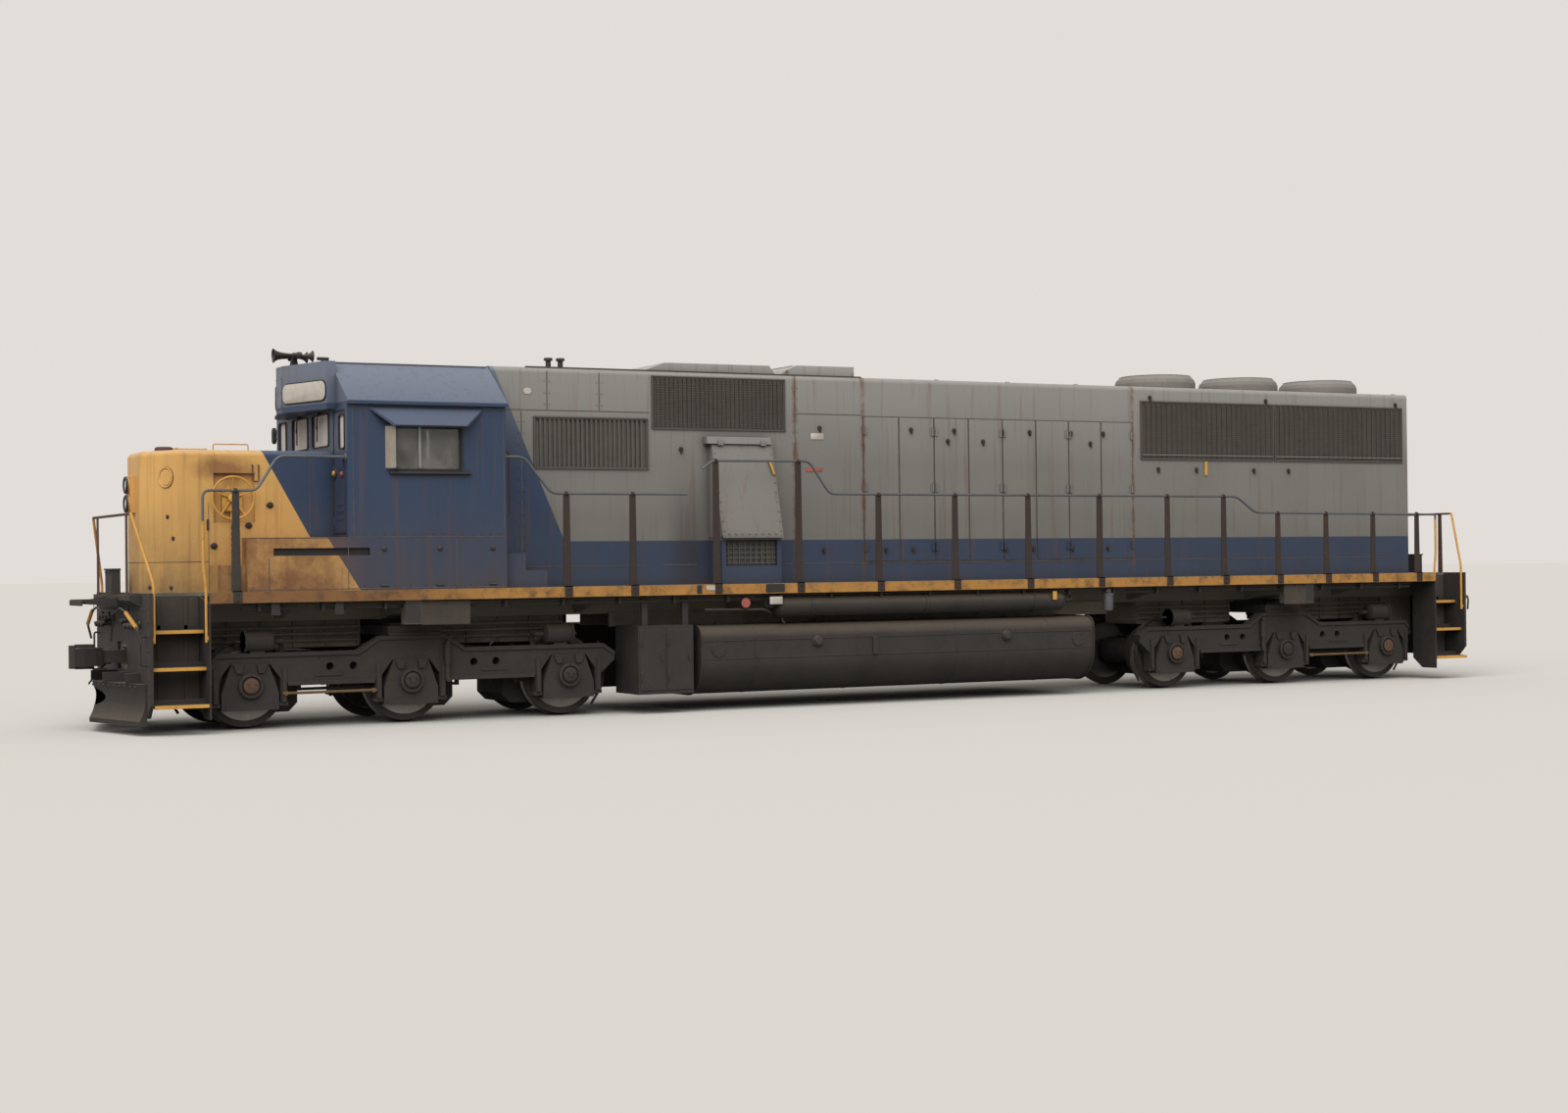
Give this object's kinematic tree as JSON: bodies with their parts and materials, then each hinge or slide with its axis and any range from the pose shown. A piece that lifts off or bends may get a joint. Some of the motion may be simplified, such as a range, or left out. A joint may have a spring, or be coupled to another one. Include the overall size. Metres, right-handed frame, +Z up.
{
  "type": "six-axle road-switcher diesel locomotive",
  "caption": "Road-switcher diesel locomotive with a low short hood, side cab, long engine hood with roof fans, side walkways, fuel tank and swivelling trucks.",
  "frame": {"origin": "centre of the length and width, at the level of the wheel flange tips; the rail head is 28 mm above it", "axes": "+X runs to the rear end and -X to the front (short hood), +Y is the right side, +Z is up"},
  "size_m": [21.892, 3.48, 4.7559],
  "materials": {
    "yellow_paint": "weathered satin",
    "blue_paint": "weathered satin",
    "grey_paint": "weathered satin",
    "black_paint": "dusty matt",
    "dark_grille": "matt",
    "truck_casting": "greasy and dusty",
    "wheel_steel": "worn tread",
    "glass": "clear",
    "seat_cloth": "plain",
    "inner_steel": "satin"
  },
  "bodies": {
    "carbody": {"air_reservoirs": "black_paint", "blower_duct": "grey_paint", "cab_front_wall": "blue_paint", "cab_rear_wall": "blue_paint", "cab_roof": "blue_paint", "cab_side_walls": "blue_paint", "cab_windows": "glass", "control_stand": "inner_steel", "crew_seats": "seat_cloth", "dynamic_brake_grilles": "dark_grille", "end_handrails": "black_paint", "end_steps": "black_paint", "engine_block": "inner_steel", "equipment_boxes": "black_paint", "fan_shrouds": "grey_paint", "front_pilot": "black_paint", "fuel_tank": "black_paint", "handbrake_wheel": "yellow_paint", "hood_blower_section": "grey_paint", "hood_engine_section": "grey_paint", "hood_intake_section": "grey_paint", "hood_radiator_section": "grey_paint", "horn": "dark_grille", "inner_cores": "inner_steel", "intake_louvres": "dark_grille", "number_board_housing": "blue_paint", "radiator_grilles": "dark_grille", "rear_pilot": "black_paint", "roof_hatches": "grey_paint", "short_hood": "yellow_paint", "side_handrails": "black_paint", "sub_base": "blue_paint", "underframe": "black_paint", "window_awnings": "blue_paint"},
    "front_truck": {"front_truck_frame": "truck_casting"},
    "rear_truck": {"rear_truck_frame": "truck_casting"},
    "axle_1": {"wheelset_1": "wheel_steel"},
    "axle_2": {"wheelset_2": "wheel_steel"},
    "axle_3": {"wheelset_3": "wheel_steel"},
    "axle_4": {"wheelset_4": "wheel_steel"},
    "axle_5": {"wheelset_5": "wheel_steel"},
    "axle_6": {"wheelset_6": "wheel_steel"},
    "front_coupler_body": {"front_coupler": "truck_casting"},
    "front_knuckle_body": {"front_knuckle": "truck_casting"},
    "front_door_leaf": {"front_cab_door": "blue_paint"},
    "rear_coupler_body": {"rear_coupler": "truck_casting"},
    "rear_knuckle_body": {"rear_knuckle": "truck_casting"},
    "rear_door_leaf": {"rear_cab_door": "blue_paint"},
    "fan_rotor_1": {"fan_1": "dark_grille"},
    "fan_rotor_2": {"fan_2": "dark_grille"},
    "fan_rotor_3": {"fan_3": "dark_grille"}
  },
  "joints": [
    {"name": "front_truck_swivel", "type": "hinge", "parent": "carbody", "child": "front_truck", "pos_m": [-6.945, 0, 1.228], "axis": [0, 0, 1], "range_deg": [-5, 5]},
    {"name": "front_coupler_swing", "type": "hinge", "parent": "carbody", "child": "front_coupler_body", "pos_m": [-9.8, 0, 0.904], "axis": [0, 0, 1], "range_deg": [-13, 13]},
    {"name": "front_knuckle_open", "type": "hinge", "parent": "front_coupler_body", "child": "front_knuckle_body", "pos_m": [-10.786, 0.13, 0.904], "axis": [0, 0, -1], "range_deg": [0, 45]},
    {"name": "front_cab_door_hinge", "type": "hinge", "parent": "carbody", "child": "front_door_leaf", "pos_m": [-7.945, -0.975, 3.108], "axis": [0, 0, -1], "range_deg": [0, 90]},
    {"name": "rear_truck_swivel", "type": "hinge", "parent": "carbody", "child": "rear_truck", "pos_m": [6.945, 0, 1.228], "axis": [0, 0, 1], "range_deg": [-5, 5]},
    {"name": "rear_coupler_swing", "type": "hinge", "parent": "carbody", "child": "rear_coupler_body", "pos_m": [9.8, 0, 0.904], "axis": [0, 0, 1], "range_deg": [-13, 13]},
    {"name": "rear_knuckle_open", "type": "hinge", "parent": "rear_coupler_body", "child": "rear_knuckle_body", "pos_m": [10.786, -0.13, 0.904], "axis": [0, 0, -1], "range_deg": [0, 45]},
    {"name": "rear_cab_door_hinge", "type": "hinge", "parent": "carbody", "child": "rear_door_leaf", "pos_m": [-5.875, 0.975, 3.108], "axis": [0, 0, -1], "range_deg": [0, 90]},
    {"name": "axle_1_spin", "type": "hinge", "parent": "front_truck", "child": "axle_1", "pos_m": [-9.015, 0, 0.536], "axis": [0, 1, 0], "continuous": true},
    {"name": "axle_2_spin", "type": "hinge", "parent": "front_truck", "child": "axle_2", "pos_m": [-6.9925, 0, 0.536], "axis": [0, 1, 0], "continuous": true},
    {"name": "axle_3_spin", "type": "hinge", "parent": "front_truck", "child": "axle_3", "pos_m": [-4.875, 0, 0.536], "axis": [0, 1, 0], "continuous": true},
    {"name": "axle_4_spin", "type": "hinge", "parent": "rear_truck", "child": "axle_4", "pos_m": [4.875, 0, 0.536], "axis": [0, 1, 0], "continuous": true},
    {"name": "axle_5_spin", "type": "hinge", "parent": "rear_truck", "child": "axle_5", "pos_m": [6.9925, 0, 0.536], "axis": [0, 1, 0], "continuous": true},
    {"name": "axle_6_spin", "type": "hinge", "parent": "rear_truck", "child": "axle_6", "pos_m": [9.015, 0, 0.536], "axis": [0, 1, 0], "continuous": true},
    {"name": "fan_1_spin", "type": "hinge", "parent": "carbody", "child": "fan_rotor_1", "pos_m": [5.375, 0, 4.468], "axis": [0, 0, 1], "continuous": true},
    {"name": "fan_2_spin", "type": "hinge", "parent": "carbody", "child": "fan_rotor_2", "pos_m": [6.995, 0, 4.468], "axis": [0, 0, 1], "continuous": true},
    {"name": "fan_3_spin", "type": "hinge", "parent": "carbody", "child": "fan_rotor_3", "pos_m": [8.615, 0, 4.468], "axis": [0, 0, 1], "continuous": true}
  ]
}
